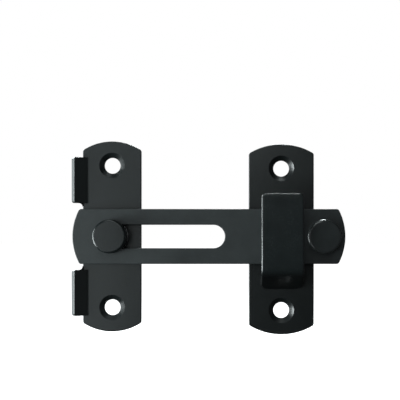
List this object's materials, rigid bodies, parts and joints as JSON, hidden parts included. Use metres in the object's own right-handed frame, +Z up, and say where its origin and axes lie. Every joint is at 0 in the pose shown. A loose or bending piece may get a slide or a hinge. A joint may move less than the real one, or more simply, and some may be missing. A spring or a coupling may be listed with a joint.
{
  "type": "barn door bolt",
  "caption": "Flat slotted bar that swings and slides on a headed stud on a tabbed base plate, and drops into an open bent hook on a keeper plate to hold a door shut.",
  "frame": {"origin": "the stud's axis on the back face of the base plate, midway between its two screws", "axes": "+X along the closed bar towards the keeper, +Z up, +Y into the door"},
  "size_m": [0.0858, 0.0108, 0.0609],
  "materials": {
    "plate_coating": "satin black coating",
    "bar_coating": "satin black coating",
    "stud_coating": "satin black coating",
    "hook_coating": "satin black coating",
    "washer": "plain steel"
  },
  "bodies": {
    "base": {"base_plate": "plate_coating", "keeper_plate": "plate_coating", "keeper_hook": "hook_coating"},
    "stud": {"pivot_stud": "stud_coating", "spacer_washer": "washer"},
    "bolt": {"bolt_bar": "bar_coating", "pull_knob": "stud_coating"}
  },
  "joints": [
    {"name": "bar_swing", "type": "hinge", "parent": "base", "child": "stud", "pos_m": [0, 0, 0], "axis": [0, -1, 0], "range_deg": [-4, 90]},
    {"name": "bar_slide", "type": "slide", "parent": "stud", "child": "bolt", "axis": [-1, 0, 0], "range_m": [0, 0.032]}
  ]
}
